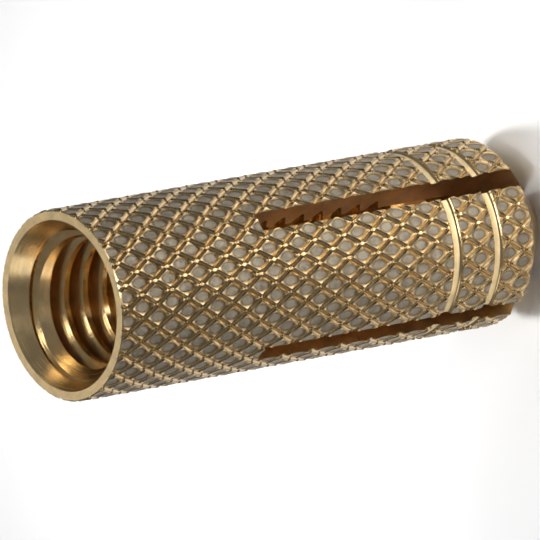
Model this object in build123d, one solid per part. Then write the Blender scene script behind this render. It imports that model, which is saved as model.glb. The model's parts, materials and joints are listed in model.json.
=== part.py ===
from build123d import *
from build123d.topology import SkipClean
import math
import os

# Brass expansion anchor: a knurled sleeve turned from one bar, tapped from one end
# and sawn crosswise from the other. It stands on its nose with the mouth up.
# Millimetres; +Z runs up the axis, origin at the middle of the flat nose tip.

# Outside
sleeve_diameter = 10.0      # over the knurl: the drilled hole that it fits
sleeve_length = 30.0        # nose tip to mouth face
nose_tip_diameter = 4.8     # flat that it stands on
nose_angle = 45.0           # cone, measured from the axis

# Thread, M8 coarse; the bore is cut to the diameter over the thread's crests
thread_diameter = 8.0
thread_pitch = 1.25

# Inside
core_height = 5.5           # solid brass between the nose tip and the full bore
drill_point_angle = 118.0
mouth_land = 0.57           # flat ring left around the countersink
mouth_angle = 60.0          # countersink, included

# Two saw cuts that cross on the axis
slot_width = 1.1
slot_length = 19.8          # from the nose tip

# Plain turned rings that break the knurl near the nose
ring_offsets = (2.25, 5.0)  # middle of each ring above the nose cone
ring_width = 0.7
ring_depth = 0.25

# Worked out from the sizes above
sleeve_radius = sleeve_diameter / 2
tip_radius = nose_tip_diameter / 2
mouth_radius = sleeve_radius - mouth_land
bore_radius = (thread_diameter - 1.0825 * thread_pitch) / 2
nose_length = (sleeve_radius - tip_radius) / math.tan(math.radians(nose_angle))
drill_point_length = bore_radius / math.tan(math.radians(drill_point_angle / 2))
mouth_depth = (mouth_radius - bore_radius) / math.tan(math.radians(mouth_angle / 2))


def turned(*corners):
    """Solid swept once round the Z axis from (radius, height) corners."""
    outline = make_face(Polyline(*corners, close=True))
    return revolve(Plane.XZ * outline, Axis.Z, clean=False)


def bar():
    """Outside of the sleeve: barrel, conical nose and flat tip."""
    return turned(
        (0, 0),
        (tip_radius, 0),
        (sleeve_radius, nose_length),
        (sleeve_radius, slot_length),       # unbroken wall above, leaves below
        (sleeve_radius, sleeve_length),
        (0, sleeve_length),
    )


def bore():
    """Drilled hole with its pointed floor and its countersunk mouth."""
    return turned(
        (0, core_height - drill_point_length),
        (bore_radius, core_height),
        (bore_radius, sleeve_length - mouth_depth),
        (mouth_radius, sleeve_length),
        (0, sleeve_length),
    )


def ring(offset):
    """Material that is turned away for one plain ring."""
    middle = nose_length + offset
    low, high = middle - ring_width / 2, middle + ring_width / 2
    inner, outer = sleeve_radius - ring_depth, sleeve_radius + 1
    return turned((inner, low), (outer, low), (outer, high), (inner, high))


def saw_cut(angle):
    """One cut straight through the nose."""
    blade = Box(sleeve_diameter + 2, slot_width, slot_length,
                align=(Align.CENTER, Align.CENTER, Align.MIN))
    return Rot(0, 0, angle) * blade


def anchor_sleeve():
    """The whole anchor: one piece of brass with four leaves at its nose."""
    with SkipClean():       # the barrel's face stays divided where the leaves begin
        sleeve = bar() - bore()
        for offset in ring_offsets:
            sleeve -= ring(offset)
        for angle in (0, 90):
            sleeve -= saw_cut(angle)
    return sleeve


os.makedirs("parts", exist_ok=True)
export_step(anchor_sleeve(), "parts/anchor_sleeve.step")
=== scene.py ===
import bpy
import json
import math
from mathutils import Matrix, Vector


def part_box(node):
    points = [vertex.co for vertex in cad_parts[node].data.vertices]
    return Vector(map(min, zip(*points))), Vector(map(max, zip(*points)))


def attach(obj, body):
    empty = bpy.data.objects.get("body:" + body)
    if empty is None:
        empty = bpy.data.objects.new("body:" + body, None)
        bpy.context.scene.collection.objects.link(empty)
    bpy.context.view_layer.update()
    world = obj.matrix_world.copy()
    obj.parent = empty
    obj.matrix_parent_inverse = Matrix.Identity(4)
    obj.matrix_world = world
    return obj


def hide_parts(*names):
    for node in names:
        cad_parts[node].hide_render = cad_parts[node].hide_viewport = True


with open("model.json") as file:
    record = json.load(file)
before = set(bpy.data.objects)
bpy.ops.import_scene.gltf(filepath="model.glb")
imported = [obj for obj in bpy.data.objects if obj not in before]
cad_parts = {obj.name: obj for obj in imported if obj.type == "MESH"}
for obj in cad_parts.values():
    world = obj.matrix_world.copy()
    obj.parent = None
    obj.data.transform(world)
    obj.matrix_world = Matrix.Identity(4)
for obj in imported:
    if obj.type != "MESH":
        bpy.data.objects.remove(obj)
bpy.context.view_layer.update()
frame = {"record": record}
mounts = {mount["name"]: mount for mount in frame["record"]["mounts"]}
low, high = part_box("anchor_sleeve")
mm = 0.001
print("frame loaded")


# node helpers, used by the shape and by the finishes

def put(tree, socket, value):
    # a socket is linked, anything else becomes the input's own value
    if isinstance(value, bpy.types.NodeSocket):
        tree.links.new(value, socket)
    else:
        socket.default_value = value


def node(tree, kind, inputs=None, **settings):
    made = tree.nodes.new(kind)
    for name, value in settings.items():
        setattr(made, name, value)
    for name, value in (inputs or {}).items():
        put(tree, made.inputs[name], value)
    return made


def calc(tree, operation, *values):
    made = node(tree, "ShaderNodeMath", operation=operation)
    for socket, value in zip(made.inputs, values):
        put(tree, socket, value)
    return made.outputs[0]


def plus(tree, first, second):
    return calc(tree, "ADD", first, second)


def minus(tree, first, second):
    return calc(tree, "SUBTRACT", first, second)


def times(tree, first, second):
    return calc(tree, "MULTIPLY", first, second)


def ratio(tree, first, second):
    return calc(tree, "DIVIDE", first, second)


def hypotenuse(tree, first, second):
    return calc(tree, "SQRT", plus(tree, times(tree, first, first), times(tree, second, second)))


def remap(tree, value, fromLow, fromHigh, toLow=0.0, toHigh=1.0, curve="LINEAR"):
    made = node(tree, "ShaderNodeMapRange", {"Value": value, "From Min": fromLow, "From Max": fromHigh,
                                             "To Min": toLow, "To Max": toHigh}, interpolation_type=curve)
    return made.outputs[0]


def vector(tree, x=0.0, y=0.0, z=0.0):
    return node(tree, "ShaderNodeCombineXYZ", {"X": x, "Y": y, "Z": z}).outputs[0]


def namedInputs(tree, sizes):
    tree.interface.new_socket("Geometry", in_out="INPUT", socket_type="NodeSocketGeometry")
    tree.interface.new_socket("Geometry", in_out="OUTPUT", socket_type="NodeSocketGeometry")
    for label, value in sizes.items():
        kind = "NodeSocketInt" if isinstance(value, int) else "NodeSocketFloat"
        tree.interface.new_socket(label, in_out="INPUT", socket_type=kind)
    group = tree.nodes.new("NodeGroupInput")
    return {label: group.outputs[label] for label in sizes}


# the sleeve, in millimetres; the tree brings it to metres at its end
sleeve = {
    "Radius": high.x / mm,
    "Length": high.z / mm,
    "Nose Tip Radius": 2.4,
    "Nose Length": 2.6,
    "Mouth Radius": 4.43,
    "Mouth Edge": 0.13,             # chamfer on the outer edge of the mouth face
    "Bore Radius": mounts["thread"]["dims"]["r_mm"],
    "Bore Floor": 5.5,
    "Drill Point": 2.0,
    "Thread Radius": 4.0,
    "Thread Pitch": 1.25,
    "Thread End": 10.0,
    "Thread Turn": 0.0,             # where round the bore the thread begins, in radians
    "Slot Width": 1.1,
    "Slot Length": 19.8,
    "Lower Ring": 4.85,
    "Upper Ring": 7.6,
    "Ring Width": 0.7,
    "Ring Depth": 0.25,
    "Ring Corner": 0.24,
}

# crossed knurl: pads stand between two sets of grooves that wind opposite ways
knurl = {
    "Pads Around": 25,
    "Pad Length": 1.9625,
    "Knurl Start": -1.72,
    "Knurl Turn": 0.0075,
    "Steps Per Pad": 10,
    "Rows": 340,
    "Groove Depth": 0.17,
    "Groove Half Width": 0.165,
    "Crater Depth": 0.08,
    "Crater Length": 0.80,
    "Crater Width": 0.52,
    "Unevenness": 0.5,
    "Seed": 3.7,
}

treeSizes = {**sleeve, **knurl}
finishes = ["knurled", "turned", "sawn", "tapped"]
roundSides = 288                    # faces round every turned and drilled surface
beyond = 1.0                        # how far a cutter stands past what it cuts, in millimetres
flankAngle = math.radians(30)       # sides of the thread's tooth and of the countersink
smoothBelow = math.radians(38)      # edges that bend less than this are shaded smooth


def padWidth(tree, size):
    return ratio(tree, times(tree, size["Radius"], math.tau), size["Pads Around"])


def padPlace(tree, rightHand, leftHand, size):
    # millimetres from the middle of the pad, along the sleeve and round it
    inRight = minus(tree, calc(tree, "FRACT", rightHand), 0.5)
    inLeft = minus(tree, calc(tree, "FRACT", leftHand), 0.5)
    along = times(tree, plus(tree, inRight, inLeft), times(tree, size["Pad Length"], 0.5))
    around = times(tree, minus(tree, inRight, inLeft), times(tree, padWidth(tree, size), 0.5))
    return along, around


def craterReach(tree, along, around, size):
    # 0 in the middle of a pad and 1 on the crater's oval rim
    return hypotenuse(tree, ratio(tree, along, times(tree, size["Crater Length"], 0.5)),
                      ratio(tree, around, times(tree, size["Crater Width"], 0.5)))


def onCylinder(tree, angle, radius, height):
    return vector(tree, times(tree, calc(tree, "COSINE", angle), radius),
                  times(tree, calc(tree, "SINE", angle), radius), height)


def knurledBar(tree, size):
    # rings of points that follow both sets of grooves, so no groove crosses a face
    steps = size["Steps Per Pad"]
    pointsAround = times(tree, steps, size["Pads Around"])
    tube = node(tree, "GeometryNodeMeshCylinder", {"Vertices": pointsAround, "Side Segments": size["Rows"],
                                                   "Radius": 1.0, "Depth": 1.0}, fill_type="NGON")
    index = node(tree, "GeometryNodeInputIndex").outputs[0]
    # half a point more keeps rounding from moving a point to the row before
    fromTop = calc(tree, "FLOOR", ratio(tree, plus(tree, index, 0.5), pointsAround))
    place = minus(tree, index, times(tree, fromTop, pointsAround))
    row = minus(tree, size["Rows"], fromTop)

    # distance from one groove to the next, square to them
    width = padWidth(tree, size)
    spacing = ratio(tree, times(tree, width, size["Pad Length"]), hypotenuse(tree, width, size["Pad Length"]))
    wallTurns = ratio(tree, size["Groove Half Width"], spacing)

    def stepped(count):
        # one step for each groove wall, the others spread over the pad
        turns = ratio(tree, count, steps)
        nearest = calc(tree, "ROUND", turns)
        away = minus(tree, turns, nearest)
        distance = calc(tree, "ABSOLUTE", away)
        step = ratio(tree, 1.0, steps)
        inWall = remap(tree, distance, 0.0, step, 0.0, wallTurns)
        inPad = remap(tree, distance, step, 0.5, 0.0, minus(tree, 0.5, wallTurns))
        return plus(tree, nearest, times(tree, calc(tree, "SIGN", away), plus(tree, inWall, inPad)))

    rightHand = stepped(plus(tree, row, place))
    leftHand = stepped(times(tree, place, -1.0))
    angle = plus(tree, size["Knurl Turn"], times(tree, minus(tree, rightHand, leftHand),
                                                 ratio(tree, math.pi, size["Pads Around"])))
    height = plus(tree, size["Knurl Start"], times(tree, plus(tree, rightHand, leftHand),
                                                   times(tree, size["Pad Length"], 0.5)))

    smoothPoint = onCylinder(tree, angle, size["Radius"], height)
    lumps = node(tree, "ShaderNodeTexNoise", {"Vector": smoothPoint, "W": size["Seed"], "Scale": 1.3,
                                              "Detail": 3.0}, noise_dimensions="4D").outputs["Fac"]
    uneven = times(tree, minus(tree, lumps, 0.5), size["Unevenness"])

    def grooveWall(turns):
        # below 0 inside the groove, deepest on its line
        away = times(tree, calc(tree, "PINGPONG", turns, 0.5), spacing)
        return times(tree, minus(tree, ratio(tree, away, size["Groove Half Width"]), 1.0), size["Groove Depth"])

    along, around = padPlace(tree, rightHand, leftHand, size)
    reach = craterReach(tree, along, around, size)
    rise = remap(tree, plus(tree, reach, uneven), 0.7, 1.8, curve="SMOOTHSTEP")
    crater = times(tree, minus(tree, rise, 1.0), size["Crater Depth"])
    groove = calc(tree, "MINIMUM", grooveWall(rightHand), grooveWall(leftHand))
    relief = calc(tree, "MINIMUM", calc(tree, "MINIMUM", groove, crater), 0.0)
    point = onCylinder(tree, angle, plus(tree, size["Radius"], relief), height)
    moved = node(tree, "GeometryNodeSetPosition", {"Geometry": tube.outputs["Mesh"], "Position": point})
    return node(tree, "GeometryNodeTriangulate", {"Mesh": moved.outputs[0]}).outputs[0]


def lifted(tree, shape, height):
    return node(tree, "GeometryNodeTransform", {"Geometry": shape,
                                                "Translation": vector(tree, z=height)}).outputs[0]


def cone(tree, bottom, top, fromHeight, toHeight):
    made = node(tree, "GeometryNodeMeshCone", {"Vertices": roundSides, "Radius Top": top, "Radius Bottom": bottom,
                                               "Depth": minus(tree, toHeight, fromHeight)}, fill_type="NGON")
    return lifted(tree, made.outputs["Mesh"], fromHeight)


def marked(tree, shape, finish):
    stored = node(tree, "GeometryNodeStoreNamedAttribute", {"Geometry": shape, "Name": "finish",
                  "Value": finishes.index(finish)}, data_type="INT", domain="FACE")
    return stored.outputs[0]


def combine(tree, operation, first, *others):
    made = node(tree, "GeometryNodeMeshBoolean", operation=operation, solver="MANIFOLD")
    if operation == "DIFFERENCE":
        tree.links.new(first, made.inputs[0])
    else:
        others = (first,) + others
    for other in others:
        tree.links.new(other, made.inputs[1])
    return made.outputs[0]


def turnedBlank(tree, size):
    # what the knurled bar is turned down to: nose, barrel and mouth face
    overlap = 0.1                   # how far the barrel reaches down into the nose
    flare = ratio(tree, minus(tree, size["Radius"], size["Nose Tip Radius"]), size["Nose Length"])
    noseTop = plus(tree, size["Radius"], times(tree, flare, beyond))
    nose = cone(tree, size["Nose Tip Radius"], noseTop, 0.0, plus(tree, size["Nose Length"], beyond))
    wide = plus(tree, size["Radius"], beyond)
    edgeRadius = minus(tree, size["Radius"], size["Mouth Edge"])
    edgeDepth = plus(tree, size["Mouth Edge"], beyond)
    shoulder = minus(tree, size["Length"], edgeDepth)
    barrel = cone(tree, wide, wide, plus(tree, size["Nose Length"], beyond - overlap), shoulder)
    edge = cone(tree, plus(tree, edgeRadius, edgeDepth), edgeRadius, shoulder, size["Length"])
    return combine(tree, "UNION", nose, barrel, edge)


def ring(tree, size, height):
    # the turning tool's square nose, taken once round the sleeve
    toolDepth = 1.0
    cornerSteps = 5
    middle = minus(tree, plus(tree, size["Radius"], toolDepth / 2), size["Ring Depth"])
    path = node(tree, "GeometryNodeCurvePrimitiveCircle", {"Resolution": roundSides, "Radius": middle}).outputs[0]
    section = node(tree, "GeometryNodeCurvePrimitiveQuadrilateral", {"Width": toolDepth,
                                                                     "Height": size["Ring Width"]})
    soft = node(tree, "GeometryNodeFilletCurve", {"Curve": section.outputs[0], "Radius": size["Ring Corner"],
                                                  "Count": cornerSteps}, mode="POLY")
    swept = node(tree, "GeometryNodeCurveToMesh", {"Curve": path, "Profile Curve": soft.outputs[0]})
    return lifted(tree, swept.outputs[0], height)


def threadRidge(tree, size):
    # the tap's tooth: wound once per pitch, wide at its foot inside the bore
    sunk = 0.15                     # how far inside the bore's wall the foot lies
    rootShare = 0.125               # flat at the thread's root, as a share of the pitch
    stepsPerTurn = 72
    footRadius = minus(tree, size["Bore Radius"], sunk)
    tall = minus(tree, size["Thread Radius"], footRadius)
    rootFlat = times(tree, size["Thread Pitch"], rootShare)
    footWidth = plus(tree, rootFlat, times(tree, tall, 2 * math.tan(flankAngle)))
    run = minus(tree, plus(tree, size["Length"], beyond), size["Thread End"])
    path = node(tree, "GeometryNodeCurveSpiral", {"Resolution": stepsPerTurn, "Height": run, "Reverse": True,
                                                  "Rotations": ratio(tree, run, size["Thread Pitch"]),
                                                  "Start Radius": footRadius, "End Radius": footRadius})
    upright = node(tree, "GeometryNodeSetCurveNormal", {"Curve": path.outputs[0]}, mode="Z_UP").outputs[0]
    tooth = node(tree, "GeometryNodeCurvePrimitiveQuadrilateral", {"Bottom Width": footWidth, "Height": tall,
                                                                   "Top Width": rootFlat, "Offset": 0.0},
                 mode="TRAPEZOID")
    # the tooth's section lies across the path, foot inward
    across = node(tree, "GeometryNodeTransform", {"Geometry": tooth.outputs[0],
                                                  "Translation": vector(tree, x=times(tree, tall, 0.5)),
                                                  "Rotation": (0.0, 0.0, math.radians(-90))}).outputs[0]
    wound = node(tree, "GeometryNodeCurveToMesh", {"Curve": upright, "Profile Curve": across, "Fill Caps": True})
    return node(tree, "GeometryNodeTransform", {"Geometry": wound.outputs[0],
                                                "Translation": vector(tree, z=size["Thread End"]),
                                                "Rotation": vector(tree, z=size["Thread Turn"])}).outputs[0]


def boreCutters(tree, size):
    # drill with its point, countersink, and the tap's tooth
    joinDepth = 0.0001              # how far the drill's point reaches into the bore, so that they join
    past = 0.5                      # how far the countersink reaches past each of its ends
    slope = math.tan(flankAngle)
    bore = cone(tree, size["Bore Radius"], size["Bore Radius"], size["Bore Floor"],
                plus(tree, size["Length"], beyond))
    point = cone(tree, 0.0, size["Bore Radius"], minus(tree, size["Bore Floor"], size["Drill Point"]),
                 plus(tree, size["Bore Floor"], joinDepth))
    sinkDepth = ratio(tree, minus(tree, size["Mouth Radius"], size["Bore Radius"]), slope)
    mouth = cone(tree, minus(tree, size["Bore Radius"], past * slope), plus(tree, size["Mouth Radius"], past * slope),
                 minus(tree, minus(tree, size["Length"], sinkDepth), past), plus(tree, size["Length"], past))
    return [marked(tree, bore, "tapped"), marked(tree, point, "turned"), marked(tree, mouth, "turned"),
            marked(tree, threadRidge(tree, size), "tapped")]


def sawBlades(tree, size):
    blades = []
    span = times(tree, size["Radius"], 3.0)     # more than the sleeve's width, so a cut runs right across
    deep = plus(tree, size["Slot Length"], beyond)
    for across in (vector(tree, span, size["Slot Width"], deep), vector(tree, size["Slot Width"], span, deep)):
        blade = node(tree, "GeometryNodeMeshCube", {"Size": across}).outputs["Mesh"]
        blades.append(marked(tree, lifted(tree, blade, minus(tree, times(tree, deep, 0.5), beyond)), "sawn"))
    return blades


def finished(tree, shape):
    # the first finish covers everything, each of the others its own faces
    finish = node(tree, "GeometryNodeInputNamedAttribute", {"Name": "finish"}, data_type="INT").outputs["Attribute"]
    for number, name in enumerate(finishes):
        chosen = True
        if number:
            same = node(tree, "FunctionNodeCompare", operation="EQUAL", data_type="INT")
            put(tree, same.inputs[2], finish)
            put(tree, same.inputs[3], number)
            chosen = same.outputs[0]
        shape = node(tree, "GeometryNodeSetMaterial", {"Geometry": shape, "Selection": chosen,
                                                       "Material": bpy.data.materials[name]}).outputs[0]
    return shape


def buildSleeveTree():
    tree = bpy.data.node_groups.new("anchorSleeve", "GeometryNodeTree")
    size = namedInputs(tree, treeSizes)
    out = tree.nodes.new("NodeGroupOutput")

    bar = marked(tree, knurledBar(tree, size), "knurled")
    blank = marked(tree, turnedBlank(tree, size), "turned")
    body = combine(tree, "INTERSECT", bar, blank)
    rings = [marked(tree, ring(tree, size, size[name]), "turned") for name in ("Lower Ring", "Upper Ring")]
    body = combine(tree, "DIFFERENCE", body, *rings, *boreCutters(tree, size), *sawBlades(tree, size))

    bend = node(tree, "GeometryNodeInputMeshEdgeAngle").outputs["Unsigned Angle"]
    gentle = node(tree, "FunctionNodeCompare", {"A": bend, "B": smoothBelow}, operation="LESS_THAN",
                  data_type="FLOAT").outputs[0]
    smooth = node(tree, "GeometryNodeSetShadeSmooth", {"Geometry": body, "Shade Smooth": gentle}, domain="EDGE")
    metres = node(tree, "GeometryNodeTransform", {"Geometry": smooth.outputs[0], "Scale": (mm, mm, mm)})
    whole = node(tree, "GeometryNodeRealizeInstances", {"Geometry": metres.outputs[0]}).outputs[0]
    tree.links.new(finished(tree, whole), out.inputs[0])
    return tree


# the finishes; lengths in them are millimetres

brass = {
    "polished": (0.80, 0.585, 0.30, 1.0),
    "dull": (0.44, 0.385, 0.29, 1.0),
    "dark": (0.17, 0.14, 0.10, 1.0),
    "tarnished": (0.36, 0.25, 0.125, 1.0),
    # painted shade for the groove bottoms
    "grooveShade": (0.16, 0.09, 0.03, 1.0),
    # painted shade for the craters' rims
    "craterRimShade": (0.13, 0.09, 0.05, 1.0),
    "turnedStain": (0.52, 0.40, 0.23, 1.0),
    "sawn": (0.76, 0.46, 0.17, 1.0),
    "sawnStain": (0.52, 0.32, 0.13, 1.0),
    "tappedStain": (0.66, 0.42, 0.16, 1.0),
}

# wear and painted shade of the knurl; the pairs of depths lie below the sleeve's outside, and run from none to full
wearAndShade = {
    "padTop": (0.05, 0.02),         # rubbed bright
    "grooveWall": (0.085, 0.11),    # bright too
    "grooveBottomShade": (0.10, 0.16),    # painted shade in the groove bottoms
    # how strong that painted groove shade is
    "grooveShadeAmount": 0.6,
    "rimWidth": (0.28, 0.04),       # painted shade round a crater, as a share of its size
    # how dark that painted shade round a crater is
    "craterRimShadeAmount": 0.75,
    "grain": 9.0,                   # grains to the millimetre
    "fineGrain": 28.0,
    "patches": 1.6,
    "roughness": 0.2,
    "craterRoughness": 0.24,        # added in the craters
    "bumpDepth": 0.022,
}

# marks of the tools: lines to the millimetre, patches of stain, gloss, and how deep the lines are
toolMarks = {
    "turned": {"lines": 14.0, "patches": 1.2, "roughness": (0.15, 0.28), "depth": 0.005},
    "sawn": {"lines": 12.0, "patches": 0.9, "roughness": (0.26, 0.42), "depth": 0.02},
    "tapped": {"lines": 12.0, "patches": 1.5, "roughness": (0.14, 0.24), "depth": 0.008},
}


def surface(name):
    material = bpy.data.materials.new(name)
    material.use_nodes = True
    tree = material.node_tree
    shader = tree.nodes["Principled BSDF"]
    shader.inputs["Metallic"].default_value = 1.0
    place = node(tree, "ShaderNodeMapping", {"Vector": node(tree, "ShaderNodeTexCoord").outputs["Object"],
                                             "Scale": (1 / mm, 1 / mm, 1 / mm)}).outputs[0]
    parts = node(tree, "ShaderNodeSeparateXYZ", {"Vector": place}).outputs
    return tree, shader, place, parts


def noise(tree, place, scale, detail=2.0, rough=0.5):
    return node(tree, "ShaderNodeTexNoise", {"Vector": place, "Scale": scale, "Detail": detail,
                                             "Roughness": rough}).outputs["Fac"]


def blend(tree, amount, first, second):
    made = node(tree, "ShaderNodeMix", data_type="RGBA")
    put(tree, made.inputs[0], amount)
    put(tree, made.inputs[6], first)
    put(tree, made.inputs[7], second)
    return made.outputs[2]


def bump(tree, shader, height, depth):
    made = node(tree, "ShaderNodeBump", {"Height": height, "Distance": depth * mm, "Strength": 1.0})
    tree.links.new(made.outputs[0], shader.inputs["Normal"])


def knurledFinish():
    tree, shader, place, parts = surface("knurled")
    size = treeSizes

    # the same pads as the shape has, found again from the place on the sleeve
    angle = minus(tree, calc(tree, "ARCTAN2", parts[1], parts[0]), size["Knurl Turn"])
    padsRound = times(tree, angle, size["Pads Around"] / math.pi)
    padsUp = times(tree, minus(tree, parts[2], size["Knurl Start"]), 2 / size["Pad Length"])
    rightHand = times(tree, plus(tree, padsUp, padsRound), 0.5)
    leftHand = times(tree, minus(tree, padsUp, padsRound), 0.5)
    along, around = padPlace(tree, rightHand, leftHand, size)
    reach = craterReach(tree, along, around, size)

    grain = noise(tree, place, wearAndShade["grain"], 4.0, 0.65)
    fine = noise(tree, place, wearAndShade["fineGrain"], 3.0, 0.7)
    patches = noise(tree, place, wearAndShade["patches"])
    ragged = plus(tree, reach, times(tree, minus(tree, grain, 0.5), 0.7))
    crater = remap(tree, ragged, 1.1, 0.8, curve="SMOOTHSTEP")
    depth = minus(tree, size["Radius"], hypotenuse(tree, parts[0], parts[1]))
    # painted shade: the deepest part of each groove
    grooveBottomShade = remap(tree, depth, *wearAndShade["grooveBottomShade"])
    grooveWall = remap(tree, depth, *wearAndShade["grooveWall"])
    padTop = remap(tree, plus(tree, depth, times(tree, grain, 0.03)), *wearAndShade["padTop"])

    darkness = plus(tree, remap(tree, fine, 0.35, 0.7, 0.0, 0.6), remap(tree, patches, 0.35, 0.65, 0.0, 0.4))
    dull = blend(tree, darkness, brass["dull"], brass["dark"])
    lip = blend(tree, calc(tree, "MAXIMUM", padTop, grooveWall), brass["tarnished"], brass["polished"])
    # painted shade darkens the groove bottoms
    bright = blend(tree, times(tree, grooveBottomShade, wearAndShade["grooveShadeAmount"]), lip, brass["grooveShade"])
    # painted shade: a dark band along each crater's rim
    rim = remap(tree, calc(tree, "ABSOLUTE", minus(tree, ragged, 1.0)), *wearAndShade["rimWidth"], 0.0, wearAndShade["craterRimShadeAmount"])
    colour = blend(tree, rim, blend(tree, crater, bright, dull), brass["craterRimShade"])
    tree.links.new(colour, shader.inputs["Base Color"])
    tree.links.new(plus(tree, wearAndShade["roughness"], times(tree, crater, wearAndShade["craterRoughness"])),
                   shader.inputs["Roughness"])
    bump(tree, shader, times(tree, plus(tree, fine, grain), plus(tree, 0.2, crater)), wearAndShade["bumpDepth"])


def turnedFinish():
    tree, shader, place, parts = surface("turned")
    marks = toolMarks["turned"]
    radius = hypotenuse(tree, parts[0], parts[1])
    angle = calc(tree, "ARCTAN2", parts[1], parts[0])
    lines = noise(tree, vector(tree, times(tree, radius, marks["lines"]), times(tree, parts[2], marks["lines"]),
                               times(tree, calc(tree, "COSINE", angle), 0.6)), 1.0, 4.0, 0.7)
    patches = noise(tree, place, marks["patches"], 3.0)
    stain = times(tree, remap(tree, patches, 0.35, 0.7), remap(tree, lines, 0.35, 0.65, 0.4, 1.0))
    tree.links.new(blend(tree, stain, brass["polished"], brass["turnedStain"]), shader.inputs["Base Color"])
    tree.links.new(remap(tree, lines, 0.3, 0.7, *marks["roughness"]), shader.inputs["Roughness"])
    bump(tree, shader, lines, marks["depth"])


def sawnFinish():
    tree, shader, place, parts = surface("sawn")
    marks = toolMarks["sawn"]
    lines = noise(tree, vector(tree, times(tree, parts[0], 1.2), times(tree, parts[1], 1.2),
                               times(tree, parts[2], marks["lines"])), 1.0, 4.0, 0.7)
    stain = remap(tree, noise(tree, place, marks["patches"], 3.0), 0.3, 0.7)
    tree.links.new(blend(tree, stain, brass["sawn"], brass["sawnStain"]), shader.inputs["Base Color"])
    tree.links.new(remap(tree, lines, 0.3, 0.7, *marks["roughness"]), shader.inputs["Roughness"])
    bump(tree, shader, lines, marks["depth"])


def tappedFinish():
    tree, shader, place, parts = surface("tapped")
    marks = toolMarks["tapped"]
    radius = hypotenuse(tree, parts[0], parts[1])
    lines = noise(tree, vector(tree, times(tree, radius, marks["lines"]), times(tree, parts[2], 4.0), 0.0),
                  1.0, 3.0, 0.6)
    patches = noise(tree, place, marks["patches"], 3.0)
    stain = remap(tree, patches, 0.3, 0.7)
    tree.links.new(blend(tree, stain, brass["polished"], brass["tappedStain"]), shader.inputs["Base Color"])
    tree.links.new(remap(tree, patches, 0.3, 0.7, *marks["roughness"]), shader.inputs["Roughness"])
    bump(tree, shader, lines, marks["depth"])


knurledFinish()
turnedFinish()
sawnFinish()
tappedFinish()
print("finishes made")


def buildSleeve():
    # the tree works on a holder, and its result becomes a plain mesh
    tree = buildSleeveTree()
    holder = bpy.data.objects.new("anchorSleeveShape", bpy.data.meshes.new("anchorSleeveShape"))
    bpy.context.scene.collection.objects.link(holder)
    modifier = holder.modifiers.new("shape", "NODES")
    modifier.node_group = tree
    for item in tree.interface.items_tree:
        if item.in_out == "INPUT" and item.name in treeSizes:
            modifier[item.identifier] = treeSizes[item.name]
    graph = bpy.context.evaluated_depsgraph_get()
    mesh = bpy.data.meshes.new_from_object(holder.evaluated_get(graph))
    bpy.data.objects.remove(holder)
    mesh.name = "anchorSleeve"
    made = bpy.data.objects.new("anchorSleeve", mesh)
    bpy.context.scene.collection.objects.link(made)
    mesh.calc_loop_triangles()
    print("sleeve made:", len(mesh.vertices), "points,", len(mesh.loop_triangles), "triangles")
    return made


piece = buildSleeve()
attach(piece, "root")
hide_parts("anchor_sleeve")


# floor, light and camera
studio = {
    "floorColour": (0.86, 0.86, 0.86, 1.0),
    "floorRoughness": 0.9,
    "floorGloss": 0.2,
    "floorHalf": 3.0,               # half the floor's side, in metres
    "worldColour": (1.0, 1.0, 1.0, 1.0),
    "worldStrength": 0.18,
    # each lamp: where it stands, what it faces, its sides or radius, and its beam
    "lamps": {
        "flood": {"azimuth": 60, "elevation": 66, "distance": 0.3, "radius": 0.03, "power": 4.5,
                  "aim": (0.009, 0.021, 0.0), "cone": 14.5, "blend": 0.35},
        "pool": {"azimuth": -107, "elevation": 70, "distance": 0.3, "radius": 0.02, "power": 36.0,
                 "aim": (-0.009, -0.032, 0.0), "cone": 5.6, "blend": 0.9},
        "key": {"azimuth": -52, "elevation": 62, "distance": 0.11, "sides": (0.04, 0.04), "power": 0.010,
                "aim": (0.0, 0.0, 0.015), "spread": 110},
        "front": {"azimuth": -107, "elevation": 50, "distance": 0.11, "sides": (0.03, 0.03), "power": 0.008,
                  "aim": (0.0, 0.0, 0.02), "spread": 110},
        "side": {"azimuth": 175, "elevation": 25, "distance": 0.12, "sides": (0.05, 0.05), "power": 0.003,
                 "aim": (0.0, 0.0, 0.012), "spread": 110},
        "rear": {"azimuth": 60, "elevation": 40, "distance": 0.4, "sides": (0.3, 0.3), "power": 0.03,
                 "aim": (0.0, 0.0, 0.02), "spread": 110},
    },
}


def direction(azimuth, elevation):
    around, above = math.radians(azimuth), math.radians(elevation)
    return Vector((math.cos(above) * math.cos(around), math.cos(above) * math.sin(around), math.sin(above)))


def buildWorld():
    world = bpy.data.worlds.new("studio")
    bpy.context.scene.world = world
    world.use_nodes = True
    background = world.node_tree.nodes["Background"]
    background.inputs["Color"].default_value = studio["worldColour"]
    background.inputs["Strength"].default_value = studio["worldStrength"]


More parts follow.
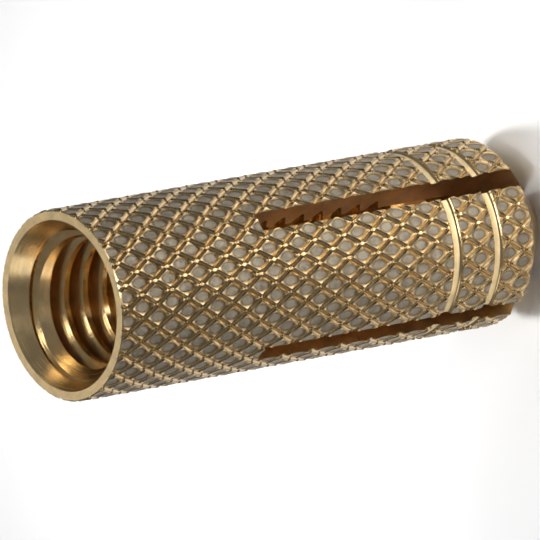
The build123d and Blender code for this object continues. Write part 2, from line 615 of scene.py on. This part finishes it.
def buildFloor():
    material = bpy.data.materials.new("floor")
    material.use_nodes = True
    shader = material.node_tree.nodes["Principled BSDF"]
    shader.inputs["Base Color"].default_value = studio["floorColour"]
    shader.inputs["Roughness"].default_value = studio["floorRoughness"]
    shader.inputs["Specular IOR Level"].default_value = studio["floorGloss"]
    half = studio["floorHalf"]
    corners = [(-half, -half, low.z), (half, -half, low.z), (half, half, low.z), (-half, half, low.z)]
    plane = bpy.data.meshes.new("floor")
    plane.from_pydata(corners, [], [(0, 1, 2, 3)])
    plane.materials.append(material)
    floor = bpy.data.objects.new("floor", plane)
    bpy.context.scene.collection.objects.link(floor)


def buildLamps():
    for name, lamp in studio["lamps"].items():
        if "cone" in lamp:
            data = bpy.data.lights.new(name, "SPOT")
            data.spot_size, data.spot_blend = math.radians(lamp["cone"]), lamp["blend"]
            data.shadow_soft_size = lamp["radius"]
        else:
            data = bpy.data.lights.new(name, "AREA")
            data.shape = "RECTANGLE"
            data.size, data.size_y = lamp["sides"]
            data.spread = math.radians(lamp["spread"])
        data.energy = lamp["power"]
        made = bpy.data.objects.new(name, data)
        aim = Vector(lamp["aim"])
        made.location = aim + direction(lamp["azimuth"], lamp["elevation"]) * lamp["distance"]
        made.rotation_euler = (aim - made.location).to_track_quat("-Z", "Y").to_euler()
        made.visible_camera = False
        bpy.context.scene.collection.objects.link(made)


camera = {
    "place": (-0.28807, -0.49881, 0.47468),
    "aim": (0.003894, 0.006885, 0.009939),
    "roll": -100.18,                # lays the standing sleeve across the picture
    "lens": 950.87,
    "sensor": 36.0,
}


def buildCamera():
    data = bpy.data.cameras.new("camera")
    data.sensor_width = camera["sensor"]
    data.lens = camera["lens"]
    made = bpy.data.objects.new("camera", data)
    forward = (Vector(camera["aim"]) - Vector(camera["place"])).normalized()
    level = forward.cross(Vector((0.0, 0.0, 1.0))).normalized()
    upright = level.cross(forward)
    roll = math.radians(camera["roll"])
    right = level * math.cos(roll) + upright * math.sin(roll)
    up = upright * math.cos(roll) - level * math.sin(roll)
    turn = Matrix((right, up, -forward)).transposed().to_4x4()
    made.matrix_world = Matrix.Translation(Vector(camera["place"])) @ turn
    bpy.context.scene.collection.objects.link(made)
    bpy.context.scene.camera = made


buildWorld()
buildFloor()
buildLamps()
buildCamera()
bpy.context.scene.view_settings.view_transform = "Standard"
print("studio made")
